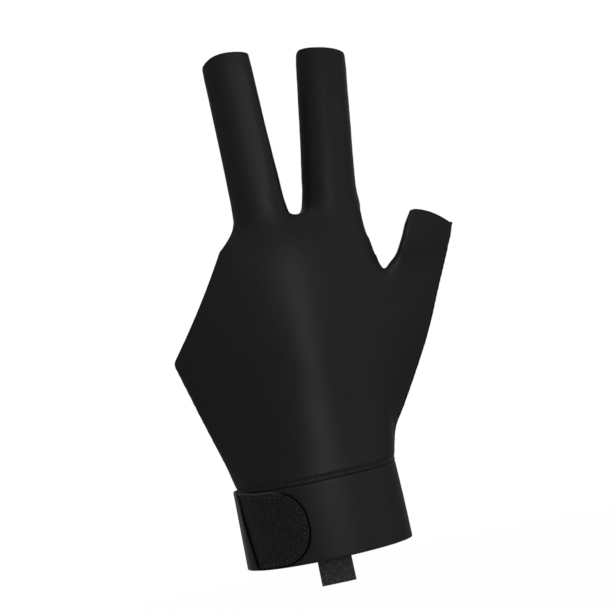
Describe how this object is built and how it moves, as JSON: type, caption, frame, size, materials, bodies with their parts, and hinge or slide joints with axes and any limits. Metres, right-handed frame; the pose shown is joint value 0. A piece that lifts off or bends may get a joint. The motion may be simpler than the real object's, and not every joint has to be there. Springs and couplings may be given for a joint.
{
  "type": "billiard glove",
  "caption": "Three-finger stretch glove for the left hand with open fingertips, a wrist band, a hook and loop wrap strap and a pull tab, kept in its worn form.",
  "frame": {"origin": "centre of the wrist opening, in the plane of the cuff's lower edge", "axes": "+Z from the wrist opening to the fingertips, +X to the thumb's side, -Y out of the back of the hand"},
  "size_m": [0.124, 0.0479, 0.2186],
  "materials": {
    "stretch_knit": "satin",
    "cuff_knit": "satin",
    "elastic": "satin",
    "suede": "matte",
    "webbing": "matte"
  },
  "bodies": {
    "root": {"back_panel": "stretch_knit", "palm_panel": "stretch_knit", "cuff": "cuff_knit", "closure_strap": "elastic", "tab_patch": "suede", "pull_tab": "webbing"}
  },
  "joints": []
}
